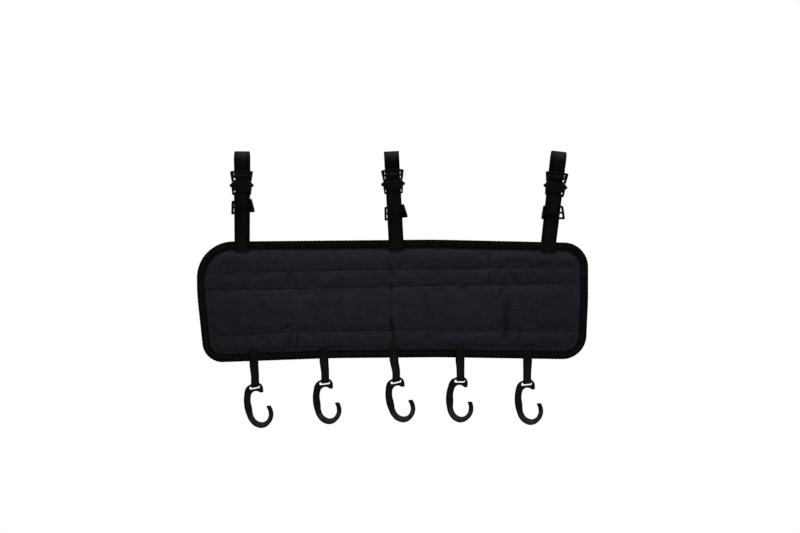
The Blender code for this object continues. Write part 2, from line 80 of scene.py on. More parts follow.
tab_fold_width = 0.0104
tab_thickness = 0.0010
tab_foot = 0.0130
tab_drops = (0.0302, 0.0280, 0.0274, 0.0266, 0.0288)
tab_hinge_drop = 0.0015
tab_front = -0.0035
hook_outset = 0.0003
hook_bar = 0.0021
bar_height = hook_bar + 2 * hook_outset
hook_thickness = 0.0040
hook_slot = 0.0048
hook_slot_left = 0.0087
hook_slot_right = 0.0065
hook_slot_round = 0.0018
socket_base = 0.0615
socket_bar = 0.0025
plug_seat = 0.0795
plug_base = 0.0022
plug_slot = 0.0034
plug_bar = 0.0023
buckle_bar_thickness = 0.0020
plug_tail = 0.0060
socket_bar_middle = socket_base + socket_bar / 2
middle_bar = plug_seat + plug_base + plug_slot + plug_bar / 2
top_bar = middle_bar + plug_bar + plug_slot

# Sizes of the looks alone
# Painted highlight: the loops are painted paler where they look up, above this height
painted_top_light_lowest = -0.006  # the loops are paler above this height
hook_grow = hook_outset + 0.00035
hook_edge = 0.0020
seam_inset = 0.0078
stitch_radius = 0.00024


# Geometry helpers


def rounded(corners):
    """Points of a closed outline with round corners, given counter-clockwise as (x, y, radius, steps)."""
    points = []
    for index, (x, y, radius, steps) in enumerate(corners):
        corner = Vector((x, y))
        before = corner - Vector(corners[index - 1][:2])
        after = Vector(corners[(index + 1) % len(corners)][:2]) - corner
        turn = math.atan2(before.cross(after), before.dot(after))
        before.normalize()
        inward = Vector((-before.y, before.x)) * math.copysign(radius, turn)
        start = corner - before * radius * math.tan(abs(turn) / 2)
        centre = start + inward
        for step in range(steps + 1):
            points.append(centre + Matrix.Rotation(turn * step / steps, 2) @ (start - centre))
    return points


def panel_outline():
    """The panel's outline in x and z, counter-clockwise from the top left."""
    corners = (
        (-half_width, panel_top - 0.0013, 0.048, 24),
        (-half_width, panel_top - 0.069, 0.3, 6),
        (-half_width + 0.010, panel_bottom - 0.0043, 0.0265, 24),
        (-0.083, panel_bottom + 0.0018, 1.5, 4),
        (0.062, panel_bottom + 0.0031, 1.5, 4),
        (half_width - 0.005, panel_bottom, 0.032, 24),
        (half_width - 0.0013, panel_top - 0.078, 0.3, 6),
        (half_width - 0.0013, panel_top - 0.003, 0.032, 24),
        (0.056, panel_top + 0.0016, 1.5, 4),
    )
    return rounded(corners)


outline = np.array(panel_outline())


def unit(rows):
    """Each row divided by its length."""
    return rows / np.linalg.norm(rows, axis=1)[:, None]


def lengths_along(points):
    """Distance of each point from the first one, along the polyline."""
    return np.concatenate([[0.0], np.cumsum(np.linalg.norm(np.diff(points, axis=0), axis=1))])


def at_lengths(places, lengths, points):
    """The polyline at these distances from its first point."""
    return np.stack([np.interp(places, lengths, column) for column in points.T], axis=1)


def resample(points, count, closed):
    """The polyline at count evenly spaced places."""
    points = np.asarray(points, float)
    if closed:
        points = np.vstack([points, points[:1]])
    lengths = lengths_along(points)
    places = np.linspace(0.0, lengths[-1], count + 1 if closed else count)[:count]
    return at_lengths(places, lengths, points)


def left_of(directions):
    """Each 2D direction turned a quarter to its left."""
    return np.stack([-directions[:, 1], directions[:, 0]], axis=1)


def inward_normals(points):
    """Unit normals of a closed counter-clockwise polyline, to its inside."""
    return left_of(unit(np.roll(points, -1, axis=0) - np.roll(points, 1, axis=0)))


def ring_distance(points, *rings):
    """Distance of each point to the nearest of the closed rings."""
    nearest = np.full(len(points), 9.0)
    for ring in rings:
        for start, leg in zip(ring, np.roll(ring, -1, axis=0) - ring):
            size = leg @ leg
            if size > 1e-12:
                share = np.clip((points - start) @ leg / size, 0, 1)
                gap = points - start - share[:, None] * leg
                nearest = np.minimum(nearest, np.sqrt((gap * gap).sum(1)))
    return nearest


def edge_height(x, pick):
    """Height of the panel's edge at x: pick is max for the upper edge and min for the lower one."""
    heights = []
    for (x0, z0), (x1, z1) in zip(outline, np.roll(outline, -1, axis=0)):
        if x0 != x1 and (x0 - x) * (x1 - x) <= 0:
            heights.append(z0 + (x - x0) / (x1 - x0) * (z1 - z0))
    return float(pick(heights))


def tangent(first, second):
    """The two points where taut webbing leaves one circle and meets the next."""
    (centre, radius, turn), (next_centre, next_radius, next_turn) = first, second
    gap = next_centre - centre
    along = gap.normalized()
    across = Vector((-along.y, along.x))
    lean = math.asin((next_turn * next_radius - turn * radius) / gap.length)
    left = across * math.cos(lean) + along * math.sin(lean)
    return centre - left * turn * radius, next_centre - left * next_turn * next_radius


def belt(stops):
    """Centreline of webbing pulled taut past circles, each (centre, radius, turn); turn is 1 to the left."""
    legs = [tangent(first, second) for first, second in zip(stops, stops[1:])]
    points = [legs[0][0]]
    for (centre, radius, turn), arriving, leaving in zip(stops[1:-1], legs, legs[1:]):
        if radius == 0:
            points.append(centre)
            continue
        start = arriving[1] - centre
        end = leaving[0] - centre
        sweep = (math.atan2(start.cross(end), start.dot(end)) * turn) % (2 * math.pi)
        steps = max(2, round(math.degrees(sweep) / 8))
        for step in range(steps + 1):
            points.append(centre + Matrix.Rotation(turn * sweep * step / steps, 2) @ start)
    points.append(legs[-1][1])
    return points


def stop(y, z, radius=0.0, turn=1):
    """One circle, or one point, that webbing passes."""
    return Vector((y, z)), radius, turn


def add_object(name, data):
    """A new object in the scene."""
    made = bpy.data.objects.new(name, data)
    bpy.context.scene.collection.objects.link(made)
    return made


def mesh_object(name, vertices, faces, finish, uvs=None):
    """A new smooth-shaded mesh object; uvs holds one (u, v) for each vertex."""
    mesh = bpy.data.meshes.new(name)
    mesh.from_pydata([tuple(v) for v in vertices], [], [tuple(int(i) for i in f) for f in faces])
    if uvs is not None:
        layer = mesh.uv_layers.new(name="UVMap")
        corners = np.empty(len(mesh.loops), int)
        mesh.loops.foreach_get("vertex_index", corners)
        layer.data.foreach_set("uv", np.asarray(uvs, np.float32)[corners].ravel())
    mesh.materials.append(finish)
    mesh.shade_smooth()
    return add_object(name, mesh)


def vertex_places(mesh):
    """The mesh's vertices, one in a row."""
    return np.array([vertex.co for vertex in mesh.vertices])


def move_vertices(mesh, places):
    """Puts the mesh's vertices at these places."""
    mesh.vertices.foreach_set("co", places.ravel())
    mesh.update()


def set_attribute(mesh, name, values):
    """Stores one number for each vertex, for the materials to read."""
    attribute = mesh.attributes.new(name, "FLOAT", "POINT")
    attribute.data.foreach_set("value", np.ascontiguousarray(values, np.float32))


def grid_faces(rows, columns, wrap_rows=False, wrap_columns=False, flip=False):
    """Quads of a grid of rows by columns vertices, row-major."""
    index = np.arange(rows * columns).reshape(rows, columns)
    if wrap_rows:
        index = np.vstack([index, index[:1]])
    if wrap_columns:
        index = np.hstack([index, index[:, :1]])
    quads = np.stack([index[:-1, :-1], index[:-1, 1:], index[1:, 1:], index[1:, :-1]], axis=2).reshape(-1, 4)
    return [tuple(quad) for quad in (quads[:, ::-1] if flip else quads).tolist()]


def apply_modifiers(obj):
    """Turns obj's modifiers into its mesh."""
    bpy.context.view_layer.update()
    graph = bpy.context.evaluated_depsgraph_get()
    mesh = bpy.data.meshes.new_from_object(obj.evaluated_get(graph))
    old = obj.data
    obj.modifiers.clear()
    obj.data = mesh
    bpy.data.meshes.remove(old)


def fix_normals(obj):
    """Turns all faces of a closed mesh outwards."""
    shape = bmesh.new()
    shape.from_mesh(obj.data)
    bmesh.ops.recalc_face_normals(shape, faces=shape.faces)
    shape.to_mesh(obj.data)
    shape.free()


# Material helpers


def set_inputs(node, inputs):
    """Links each input that is given a socket, and sets any other value on the input itself."""
    for key, value in inputs.items():
        if isinstance(value, bpy.types.NodeSocket):
            node.id_data.links.new(value, node.inputs[key])
        else:
            node.inputs[key].default_value = value


def make_node(tree, kind, inputs=None, **settings):
    """A shader node with its settings and inputs."""
    made = tree.nodes.new("ShaderNode" + kind)
    for name, value in settings.items():
        setattr(made, name, value)
    set_inputs(made, inputs or {})
    return made


def math_node(tree, operation, *values):
    """A Math node's output."""
    return make_node(tree, "Math", dict(enumerate(values)), operation=operation).outputs[0]


def product(tree, *values):
    """The product of two sockets or numbers."""
    return math_node(tree, "MULTIPLY", *values)


def weighted(tree, *terms):
    """The sum of sockets times their weights, each term (socket, weight)."""
    total = 0.0
    for value, weight in terms:
        total = math_node(tree, "MULTIPLY_ADD", value, weight, total)
    return total


def new_material(name):
    """A node material and its tree."""
    made = bpy.data.materials.new(name)
    made.use_nodes = True
    return made, made.node_tree


def scaled(tree, vector, factors):
    """The vector or colour times one factor, or one for each axis."""
    inputs = {0: vector, 1: factors}
    return make_node(tree, "VectorMath", inputs, operation="MULTIPLY").outputs[0]


def own_noise(tree, detail, *factors, roughness=0.5):
    """Noise from 0 to 1 in the object's own coordinates, with one scale or one for each axis."""
    place = make_node(tree, "TexCoord").outputs["Object"]
    place = scaled(tree, place, factors if len(factors) == 3 else factors * 3)
    inputs = {"Vector": place, "Scale": 1.0, "Detail": detail, "Roughness": roughness}
    return make_node(tree, "TexNoise", inputs).outputs[0]


def axes(tree, kind):
    """A texture coordinate's axes; those of UV are the distances across and along a strip, in metres."""
    return make_node(tree, "SeparateXYZ", {0: make_node(tree, "TexCoord").outputs[kind]}).outputs


def mesh_value(tree, name):
    """The number that the mesh stores for each vertex under this name."""
    return make_node(tree, "Attribute", attribute_name=name).outputs["Fac"]


def colour_ramp(tree, value, stops):
    """A colour ramp's output; stops holds (position, linear colour)."""
    ramp = make_node(tree, "ValToRGB", {0: value})
    elements = ramp.color_ramp.elements
    while len(elements) < len(stops):
        elements.new(0.5)
    for element, (position, colour) in zip(elements, stops):
        element.position = position
        element.color = (*colour, 1.0)
    return ramp.outputs[0]


def map_range(tree, value, low, high, to_low, to_high):
    """A Map Range node's output."""
    inputs = {"Value": value, "From Min": low, "From Max": high, "To Min": to_low, "To Max": to_high}
    return make_node(tree, "MapRange", inputs).outputs[0]


def sine(tree, value, period, offset=0.0):
    """A wave from 0 to 1 with this period in metres; offset is in periods."""
    turns = weighted(tree, (value, 2 * math.pi / period), (offset, 2 * math.pi))
    return math_node(tree, "MULTIPLY_ADD", math_node(tree, "SINE", turns), 0.5, 0.5)


def dress(made, colour, roughness, shine, relief, sheen=0.0):
    """Gives the material its looks.

    roughness is (noise, least, most), and relief is (value, the height in metres of a value of 1, strength).
    """
    tree = made.node_tree
    noise, *span = roughness
    bump = make_node(tree, "Bump", dict(zip(("Height", "Distance", "Strength"), relief)))
    looks = {
        "Base Color": colour,
        "Roughness": map_range(tree, noise, 0.3, 0.7, *span),
        "Specular IOR Level": shine,
        "Sheen Weight": sheen,
        "Sheen Roughness": 0.4,
        "Normal": bump.outputs[0],
    }
    set_inputs(tree.nodes["Principled BSDF"], looks)
    return made


def painted_top_light(tree, colour, lowest=-1.0):
    """The colour with a painted highlight: paler where the surface looks up and lies above lowest, as light
    from above would leave it.
    """
    up = map_range(tree, axes(tree, "Normal")[2], 0.05, 0.6, 0.0, 1.0)
    gain = map_range(tree, axes(tree, "Object")[2], lowest, lowest + 0.008, 0.0, 1.5)
    return scaled(tree, colour, math_node(tree, "MULTIPLY_ADD", up, gain, 1.0))


def make_rib_cloth(name, tint):
    """Polyester of this tint with fine horizontal ribs, darker where the mesh value fold says so: painted
    shade in creases and along sewn lines, and darker towards both ends.
    """
    made, tree = new_material(name)
    drift = product(tree, own_noise(tree, 2.0, 14.0, 14.0, 30.0), 0.9)
    rib_depth = map_range(tree, own_noise(tree, 3.0, 30.0, 30.0, 90.0), 0.35, 0.65, 0.7, 1.0)
    rib = product(tree, sine(tree, axes(tree, "Object")[2], 0.0023, drift), rib_depth)
    yarn = own_noise(tree, 2.0, 420.0, 900.0, 2600.0)
    slub = own_noise(tree, 1.0, 60.0, 300.0, 1500.0)
    broad = own_noise(tree, 3.0, 14.0, 14.0, 9.0, roughness=0.6)
    speckle = own_noise(tree, 1.0, 260.0, 260.0, 700.0)
    value = weighted(tree, (yarn, 0.3), (rib, 0.36), (slub, 0.3), (speckle, 0.36), (broad, 0.10))
    dark, light = (tuple(channel * gain for channel in tint) for gain in (0.4, 2.0))
    colour = colour_ramp(tree, value, [(0.44, dark), (0.70, tint), (0.96, light)])
    # Painted shade from the mesh value fold in creases and along sewn lines, and darker towards both ends
    shade = map_range(tree, mesh_value(tree, "fold"), 0.0, 1.0, 1.0, 0.28)
    surface = weighted(tree, (yarn, 0.45), (rib, 1.0))
    return dress(made, scaled(tree, colour, shade), (slub, 0.62, 0.86), 0.025, (surface, 0.00016, 0.8))


def make_tape(name):
    """Black folded tape with fine ribs across it, with a painted highlight on its crest and painted shade
    towards its edges.
    """
    made, tree = new_material(name)
    across, along = axes(tree, "UV")[:2]
    ribs = sine(tree, along, 0.0009)
    fuzz = own_noise(tree, 3.0, 1400.0)
    patches = own_noise(tree, 3.0, 140.0)
    value = weighted(tree, (fuzz, 0.4), (ribs, 0.3), (patches, 0.7))
    colour = colour_ramp(tree, value, [(0.45, (0.0010, 0.0010, 0.0012)), (0.95, (0.0052, 0.0052, 0.0057))])
    # Painted highlight on the crest of the tape's front and painted shade on either side of it
    off_crest = math_node(tree, "ABSOLUTE", math_node(tree, "SUBTRACT", across, 0.0050))
    painted_crest_light = map_range(tree, off_crest, 0.0048, 0.0008, 0.35, 1.15)
    surface = weighted(tree, (fuzz, 1.0), (ribs, 1.0), (sine(tree, across, 0.0013), 0.3))
    return dress(made, scaled(tree, colour, painted_crest_light), (fuzz, 0.7, 0.92), 0.012, (surface, 0.00012, 0.7), 0.03)


def make_webbing(name, width, light):
    """Black webbing of this width, a chevron weave with pale threads of this grey, with painted light along
    its middle, painted shade towards its edges, and a painted highlight where its loops look up.
    """
    made, tree = new_material(name)
    across, along = axes(tree, "UV")[:2]
    reach = math_node(tree, "ABSOLUTE", math_node(tree, "SUBTRACT", across, width / 2))
    zigzag = math_node(tree, "PINGPONG", across, width / 8)
    picks = sine(tree, math_node(tree, "MULTIPLY_ADD", zigzag, 0.9, along), 0.0013)
    fuzz = own_noise(tree, 3.0, 1800.0)
    wear = own_noise(tree, 3.0, 120.0, 120.0, 60.0)
    cords = product(tree, sine(tree, across, 0.00125), picks)
    weave = weighted(tree, (picks, 0.5), (cords, 1.0))
    value = weighted(tree, (fuzz, 0.24), (weave, 0.34), (wear, 0.2))
    dark = 0.0006
    colours = [(0.18, (dark, dark, dark * 1.1)), (0.72, (light, light, light * 1.05))]
    # Painted light along the middle and painted shade towards the edges, varied by random wear in tone
    middle = map_range(tree, reach, width * 0.46, width * 0.22, 0.4, 1.1)
    middle = product(tree, middle, map_range(tree, wear, 0.35, 0.65, 0.8, 1.2))
    selvedge = map_range(tree, reach, width / 2 - 0.0022, width / 2 - 0.0016, 0.0, 1.0)
    surface = weighted(tree, (weave, 1.0), (fuzz, 0.25), (selvedge, 0.5))
    # Painted highlight where the webbing looks up, above the loops' crest
    colour = painted_top_light(tree, scaled(tree, colour_ramp(tree, value, colours), middle), painted_top_light_lowest)
    return dress(made, colour, (fuzz, 0.5, 0.7), 0.012, (surface, 0.00022, 0.8), 0.05)


def make_thread(name):
    """Black twisted sewing thread."""
    made, tree = new_material(name)
    twist = own_noise(tree, 1.0, 2600.0)
    colours = [(0.3, (0.0020, 0.0020, 0.0023)), (0.7, (0.0070, 0.0070, 0.0076))]
    return dress(made, colour_ramp(tree, twist, colours), (twist, 0.45, 0.65), 0.04, (twist, 0.0001, 0.6))


def make_plastic(name, base, shine, painted_light_gain=0.0):
    """Black moulded plastic of this grey and shine, paler on its edges, partly rubbed wear and partly a
    painted edge highlight, and with a painted highlight where it looks up.

    With a gain given, the mesh value middle paints shade on the rims of the faces and paler middles, and a
    second mesh value paints a highlight on the hook's lower bend, by up to that gain.
    """
    made, tree = new_material(name)
    grain = own_noise(tree, 2.0, 2200.0)
    flow = own_noise(tree, 3.0, 160.0)
    # Paler edges: partly rubbed wear, partly a painted edge highlight
    edges = map_range(tree, make_node(tree, "NewGeometry").outputs["Pointiness"], 0.53, 0.62, 0.0, 1.0)
    edges = product(tree, edges, map_range(tree, flow, 0.4, 0.6, 0.3, 1.0))
    greys = [(0.2, base * 0.6), (0.45, base), (1.0, base * 3.0)]
    colours = [(position, (grey, grey, grey * 1.05)) for position, grey in greys]
    colour = colour_ramp(tree, weighted(tree, (flow, 0.6), (edges, 0.5)), colours)
    if painted_light_gain:
        # Painted highlight on the lower bend, and painted shade on the rims with paler middles
        painted_bend_highlight = product(tree, mesh_value(tree, "painted_bend_highlight"), map_range(tree, flow, 0.3, 0.7, 0.4, 1.0))
        gain = math_node(tree, "MULTIPLY_ADD", painted_bend_highlight, painted_light_gain, 1.0)
        middle = map_range(tree, mesh_value(tree, "middle"), 0.0, 1.0, 0.15, 1.25)
        colour = scaled(tree, colour, product(tree, gain, middle))
    # Painted highlight where the plastic looks up
    return dress(made, painted_top_light(tree, colour), (flow, 0.3, 0.46), shine, (grain, 0.00004, 0.5))


cloth = make_rib_cloth("rib_cloth_front", (0.0122, 0.0116, 0.0150))
tape = make_tape("binding_tape")
webbing = make_webbing("webbing_weave", webbing_width, 0.0068)
tab_webbing = make_webbing("tab_weave", tab_width, 0.0112)
thread = make_thread("sewing_thread")
buckle_plastic = make_plastic("buckle_plastic", 0.0022, 0.03)
# The hooks are the buckles' black plastic in a paler grey: painted light, as the hooks catch more light
hook_plastic_painted_paler = make_plastic("hook_plastic_painted_paler", 0.0058, 0.014, 3.2)


# The padded panel

# Sewn lines across the panel, each as heights at x places
line_places = (-0.26, -0.12, 0.0, 0.12, 0.26)
sewn_lines = (
    (-0.2545, -0.2478, -0.2448, -0.2448, -0.2450),
    (-0.2343, -0.2272, -0.2249, -0.2249, -0.2249),
    (-0.1712, -0.1694, -0.1671, -0.1640, -0.1632),
    (-0.1492, -0.1459, -0.1446, -0.1421, -0.1410),
)
pad_inset = 0.0045
rim_reach = 0.0105
slope_reach = 0.0215
rim_depth = 0.0009
pad_depth = 0.0031
line_depth = 0.0024
pad_columns = 118
band_rows = (6, 7, 17, 8, 9)
puff_frames = 20
puff_limit = 0.0020

# Creases as (x, z, half length, lean from upright in degrees, half width, depth)
creases = (
    (-0.1390, -0.1560, 0.0140, 8.0, 0.0022, 0.0007),
    (-0.1330, -0.1520, 0.0120, -20.0, 0.0018, 0.0006),
    (-0.1300, -0.1640, 0.0070, 40.0, 0.0015, 0.0005),
    (-0.1420, -0.2215, 0.0120, 55.0, 0.0018, 0.0007),
    (-0.1370, -0.2370, 0.0110, 12.0, 0.0019, 0.0008),
    (-0.1270, -0.2390, 0.0120, 10.0, 0.0018, 0.0008),
    (-0.0052, -0.1400, 0.0150, -4.0, 0.0015, 0.0008),
    (0.0000, -0.1500, 0.0110, -28.0, 0.0013, 0.0007),
    (-0.0030, -0.1850, 0.0300, 1.0, 0.0016, 0.0006),
    (-0.0008, -0.2270, 0.0240, -8.0, 0.0022, 0.0014),
    (-0.0020, -0.2520, 0.0150, 6.0, 0.0019, 0.0014),
    (0.0075, -0.2400, 0.0130, -10.0, 0.0013, 0.0006),
    (0.1270, -0.1340, 0.0100, 2.0, 0.0020, 0.0008),
    (0.1280, -0.1570, 0.0110, -2.0, 0.0018, 0.0006),
    (0.1430, -0.1760, 0.0100, 18.0, 0.0024, 0.0008),
    (0.1620, -0.1560, 0.0090, -28.0, 0.0022, 0.0007),
    (0.1500, -0.2100, 0.0380, 3.0, 0.0048, 0.0008),
    (0.1680, -0.2360, 0.0120, 5.0, 0.0028, 0.0006),
)


def line_height(index, x):
    """Height of a sewn line at x, on a smooth curve through its places."""
    fit = np.polyfit(line_places, sewn_lines[index], 3)
    return np.polyval(fit, x)


def boundary_between(ring, start, end, count):
    """The stretch of a closed ring from the point nearest start to the one nearest end, count points."""
    first, last = (int(np.argmin(((ring - place) ** 2).sum(1))) for place in (start, end))
    if last < first:
        last += len(ring)
    return resample(ring[np.arange(first, last + 1) % len(ring)], count, False)


def spread_rows(counts):
    """Row fractions: rows crowd towards both ends of each band between sewn lines."""
    rows = [[0.0]]
    for band, count in enumerate(counts):
        t = np.arange(1, count + 1) / count
        rows.append(band + 0.65 * t + 0.35 * t * t * (3 - 2 * t))
    return np.concatenate(rows)


def pad_grid():
    """Grid points of the pad in x and z, row by row from the bottom, with rows on the sewn lines."""
    ring = resample(outline, 2600, True)
    ring = ring + inward_normals(ring) * pad_inset
    top_left = (-half_width + 0.014, panel_top - 0.0153)
    bottom_left = (-half_width + 0.018, panel_bottom + 0.0035)
    bottom_right = (half_width - 0.0144, panel_bottom + 0.0094)
    top_right = (half_width - 0.0107, panel_top - 0.0124)
    fine = 200
    shares = np.linspace(0, 1, fine)
    left = boundary_between(ring, top_left, bottom_left, fine)[::-1]
    low = boundary_between(ring, bottom_left, bottom_right, pad_columns)
    right = boundary_between(ring, bottom_right, top_right, fine)
    high = boundary_between(ring, top_right, top_left, pad_columns)[::-1]
    s = np.linspace(0, 1, pad_columns)[None, :, None]
    t = shares[:, None, None]
    patch = (1 - t) * low[None] + t * high[None] + (1 - s) * left[:, None] + s * right[:, None]
    patch -= (1 - s) * (1 - t) * low[0] + s * (1 - t) * low[-1] + (1 - s) * t * high[0] + s * t * high[-1]
    rows = spread_rows(band_rows)
    places = np.empty((len(rows), pad_columns, 2))
    for column in range(pad_columns):
        line = patch[:, column]
        marks = [line_height(index, line[fine // 2, 0]) for index in range(len(sewn_lines))]
        marks = [line[0, 1], *marks, line[-1, 1]]
        marks[1] = max(marks[1], marks[0] + 0.004)
        heights = np.interp(rows, np.arange(len(marks)), marks)
        places[:, column] = at_lengths(np.interp(heights, line[:, 1], shares), shares, line)
    return places, rows


def smooth(value, low, high):
    """0 below low, 1 above high, and a smooth step between them."""
    share = np.clip((value - low) / (high - low), 0, 1)
    return share * share * (3 - 2 * share)


def make_pad():
    """The padded panel: two covers sewn through foam, puffed up between the sewn lines."""
    places, rows = pad_grid()
    flat = places.reshape(-1, 2)
    reach = ring_distance(flat, outline)
    depth = rim_depth + (pad_depth - rim_depth) * smooth(reach, rim_reach, slope_reach)
    on_line = np.isin(np.round(np.repeat(rows, pad_columns), 6), (1.0, 2.0, 3.0, 4.0))
    inside = reach > slope_reach - 0.006
    depth = np.where(on_line & inside, np.minimum(depth, line_depth), depth)
    co = np.vstack([np.insert(flat, 1, y, axis=1) for y in (-depth, depth)])
    faces = grid_faces(len(rows), pad_columns)
    count = len(flat)
    faces += [tuple(index + count for index in face[::-1]) for face in faces]
    grid = np.arange(count).reshape(len(rows), pad_columns)
    loop = [*grid[0], *grid[1:, -1], *grid[-1, -2::-1], *grid[-2:0:-1, 0]]
    faces += [(b, a, a + count, b + count) for a, b in zip(loop, loop[1:] + loop[:1])]
    pad = mesh_object("panel_pad", co, faces, cloth)
    pinned = (reach < rim_reach + 0.001) | on_line
    pinned[loop] = True
    puff(pad, np.concatenate([pinned, pinned]))
    return pad


def puff(pad, pinned):
    """Cloth under a little pressure, slightly large for its place, held at its rim and sewn lines."""
    held = pad.vertex_groups.new(name="held")
    held.add(np.flatnonzero(pinned).tolist(), 1.0, "REPLACE")
    rest = vertex_places(pad.data)
    modifier = pad.modifiers.new("puff", "CLOTH")
    settings = {
        "quality": 6,
        "mass": 0.25,
        "tension_stiffness": 12.0,
        "compression_stiffness": 12.0,
        "shear_stiffness": 6.0,
        "bending_stiffness": 0.08,
        "use_pressure": True,
        "uniform_pressure_force": 2.2,
        "shrink_min": -0.010,
        "vertex_group_mass": "held",
    }
    for name, value in settings.items():
        setattr(modifier.settings, name, value)
    modifier.settings.effector_weights.gravity = 0.0
    modifier.point_cache.frame_start = 1
    modifier.point_cache.frame_end = puff_frames
    for step in range(1, puff_frames + 1):
        bpy.context.scene.frame_set(step)
    graph = bpy.context.evaluated_depsgraph_get()
    shift = vertex_places(pad.evaluated_get(graph).to_mesh()) - rest
    pad.modifiers.clear()
    pad.vertex_groups.clear()
    bpy.context.scene.frame_set(1)
    size = np.linalg.norm(shift, axis=1)
    shift *= (np.minimum(size, puff_limit) / np.maximum(size, 1e-9))[:, None]
    move_vertices(pad.data, rest + shift)


def crease_pad(pad):
    """Refines the pad and presses soft creases and small wrinkles into both sides."""
    subdivide = pad.modifiers.new("refine", "SUBSURF")
    subdivide.levels = subdivide.render_levels = 1
    apply_modifiers(pad)
    co = vertex_places(pad.data)
    x, y, z = co.T
    reach = ring_distance(co[:, [0, 2]], outline)
    free = smooth(reach, rim_reach, slope_reach + 0.004)
    press = np.zeros(len(co))
    # The cloth is a little darker towards both ends, and the mesh value fold paints shade into its creases
    # and along its sewn lines
    fold = 0.20 * smooth(np.abs(x + 0.01), 0.13, 0.23)
    for index in range(len(sewn_lines)):
        fold = np.maximum(fold, 0.7 * np.exp(-(((z - line_height(index, x)) / 0.0007) ** 2)))
    for crease_x, crease_z, half, lean, width, deep in creases:
        angle = math.radians(lean)
        along = (x - crease_x) * math.sin(angle) + (z - crease_z) * math.cos(angle)
        across = np.abs((x - crease_x) * math.cos(angle) - (z - crease_z) * math.sin(angle)) / width
        fade = 1 - smooth(np.abs(along), half * 0.5, half)
        valley = fade * np.exp(-(across**2))
        press += deep * (valley - 0.45 * fade * np.exp(-((across - 1.9) ** 2)))
        fold = np.maximum(fold, min(1.0, deep / 0.0012) * valley)
    # Small puckers beside the binding, as the tape's stitches pull the cloth
    turn = (x + z * 0.7) * 2 * math.pi
    pucker = np.sin(turn / 0.0092) + 0.6 * np.sin(turn / 0.0061 + 1.0)
    off_rim = reach - rim_reach
    press += 0.00010 * pucker * smooth(off_rim, 0, 0.003) * (1 - smooth(off_rim, 0.006, 0.016))
    press += 0.00013 * np.sin(x * 61 + 1.3 * np.sin(z * 74)) * np.sin(z * 92 + 2.1 * np.sin(x * 23))
    set_attribute(pad.data, "fold", fold * free)
    side = np.sign(y)
    least = np.where(reach < rim_reach, 0.0, (0.0011 + 0.0004 * free) * free)
    co[:, 1] = side * np.maximum(np.abs(y - side * press * free), least)
    move_vertices(pad.data, co)
    pad.data.shade_smooth()


def surface_depth(pad, side):
    """A function that gives the pad's surface y at points of the XZ plane."""
    tree = BVHTree.FromPolygons([v.co for v in pad.data.vertices], [p.vertices for p in pad.data.polygons])

    def depth(x, z):
        hit = tree.ray_cast(Vector((x, side * 0.05, z)), Vector((0, -side, 0)))
        return hit[0].y if hit[0] else side * rim_depth

    return depth


def sew(name, paths, pitch, gap, radius=stitch_radius):
    """Stitches of thread on the panel along 3D paths, each (points, the direction that they stand out to)."""
    corners = 6
    rises = np.array((-0.95, 0.60, 0.90, 0.60, -0.95)) * radius
    sizes = np.array((0.75, 1.0, 1.0, 1.0, 0.75)) * radius
    turns = np.arange(corners)[:, None] * 2 * math.pi / corners
    vertices = []
    for points, outward in paths:
        points = np.asarray(points, float)
        outward = np.asarray(outward, float)
        lengths = lengths_along(points)
        count = int(lengths[-1] / pitch)
        spare = (lengths[-1] - count * pitch) / 2
        for number in range(count):
            begin = spare + number * pitch + gap / 2
            middle = at_lengths(np.linspace(begin, begin + pitch - gap, len(rises)), lengths, points)
            across = np.cross(unit(np.gradient(middle, axis=0)), outward)
            for centre, side, size in zip(middle + outward * rises[:, None], across, sizes):
                vertices += list(centre + size * (np.cos(turns) * side + np.sin(turns) * outward))
    stitch = grid_faces(len(rises), corners, wrap_columns=True)
    stitch += [tuple(range(corners))[::-1], tuple(range((len(rises) - 1) * corners, len(rises) * corners))]
    starts = range(0, len(vertices), len(rises) * corners)
    faces = [tuple(start + index for index in face) for start in starts for face in stitch]
    sewing = mesh_object(name, vertices, faces, thread)
    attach(sewing, "panel")


# The binding

pucker_pitch = 0.0046
tape_half = 0.00045
fold_radius = 0.0014


def tape_line():
    """Centreline of the folded tape in its cross-section, front edge to back edge, as (inset, y)."""
    middle = binding_half - tape_half
    points = []
    for inset in np.linspace(binding_width, fold_radius, 12):
        swell = 0.00035 * math.sin(math.pi * min(1.0, inset / seam_inset))
        dip = 0.00030 * math.exp(-(((inset - seam_inset) / 0.0009) ** 2))
        points.append((inset, -middle - swell + dip))
    for step in range(1, 8):
        angle = math.pi * step / 8
        points.append((fold_radius * (1 - math.sin(angle)), -middle * math.cos(angle)))
    return np.array(points + [(inset, -y) for inset, y in points[:12][::-1]])


